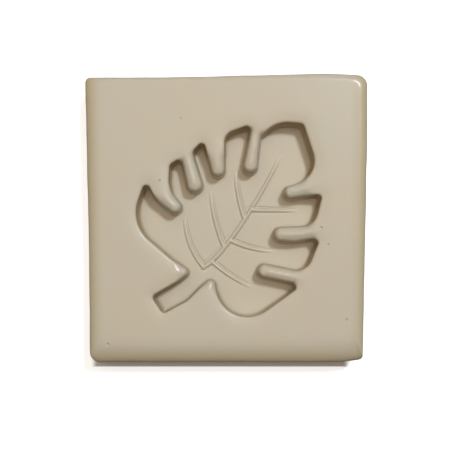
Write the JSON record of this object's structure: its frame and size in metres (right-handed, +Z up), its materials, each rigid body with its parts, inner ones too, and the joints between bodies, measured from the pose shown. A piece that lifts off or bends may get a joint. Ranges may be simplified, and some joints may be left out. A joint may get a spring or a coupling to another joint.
{
  "type": "silicone mold",
  "caption": "Soft square block of cream silicone rubber with a deep lobed leaf cavity in its top face, for casting or pressing a veined leaf.",
  "frame": {"origin": "middle of the block's underside, on the table", "axes": "+X to the right of the leaf's picture, +Y to the back, towards the leaf's tip, +Z up out of the cavity's mouth"},
  "size_m": [0.0709, 0.0728, 0.011],
  "materials": {
    "silicone": "satin, lightly waxy cast silicone"
  },
  "bodies": {
    "root": {"mold_block": "silicone"}
  },
  "joints": []
}
